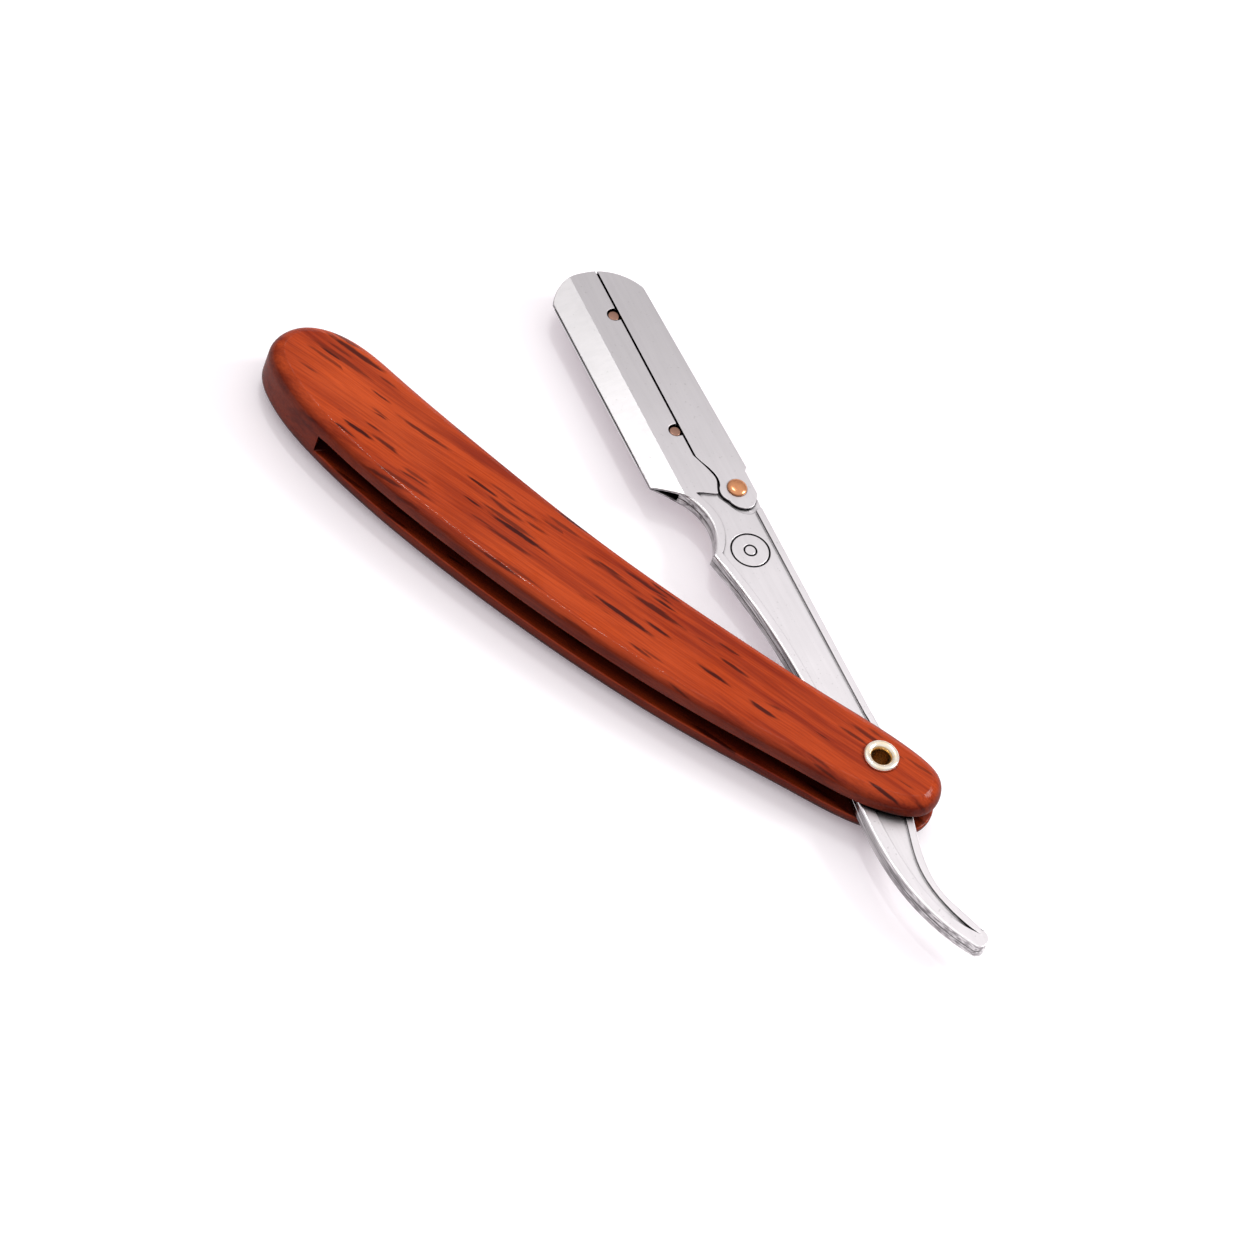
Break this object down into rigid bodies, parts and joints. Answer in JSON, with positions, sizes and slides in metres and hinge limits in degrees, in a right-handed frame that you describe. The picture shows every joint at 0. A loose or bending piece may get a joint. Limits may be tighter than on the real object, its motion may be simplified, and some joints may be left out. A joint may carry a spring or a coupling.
{
  "type": "straight razor",
  "caption": "Folding barber's razor: wooden handle with a slot, two spreading steel halves that clamp a half blade, and a swinging clip that locks them.",
  "frame": {"origin": "on the pivot's axis, halfway through the handle's thickness", "axes": "+Z along the pivot's axis towards the front cheek; -X along the handle towards its broad end; +Y towards the side where the arm stands open"},
  "size_m": [0.1689, 0.0914, 0.0132],
  "materials": {
    "handle_wood": "orange-red wood, lacquered",
    "eyelet_brass": "pale plated rim over brass",
    "arm_steel": "satin pressed steel",
    "clip_steel": "satin, brighter at the edges",
    "rivet_copper": "polished copper",
    "pin_copper": "dull copper",
    "blade_steel": "ground blade steel"
  },
  "bodies": {
    "handle": {"handle": "handle_wood", "pivot_eyelet": "eyelet_brass"},
    "back_arm": {"back_arm": "arm_steel", "clip_rivet": "rivet_copper", "heel_pin": "pin_copper", "toe_pin": "pin_copper", "half_blade": "blade_steel"},
    "front_arm": {"front_arm": "arm_steel"},
    "spine_clip": {"spine_clip": "clip_steel"}
  },
  "joints": [
    {"name": "arm_pivot", "type": "hinge", "parent": "handle", "child": "back_arm", "pos_m": [0, 0, 0], "axis": [0, 0, 1], "range_deg": [-242.5, 27.5]},
    {"name": "front_spread", "type": "hinge", "parent": "back_arm", "child": "front_arm", "pos_m": [0, 0, 0], "axis": [0, 0, 1], "range_deg": [0, 14]},
    {"name": "clip_swing", "type": "hinge", "parent": "back_arm", "child": "spine_clip", "pos_m": [-0.05031, 0.03946, 0], "axis": [0, 0, 1], "range_deg": [-50, 0]}
  ]
}
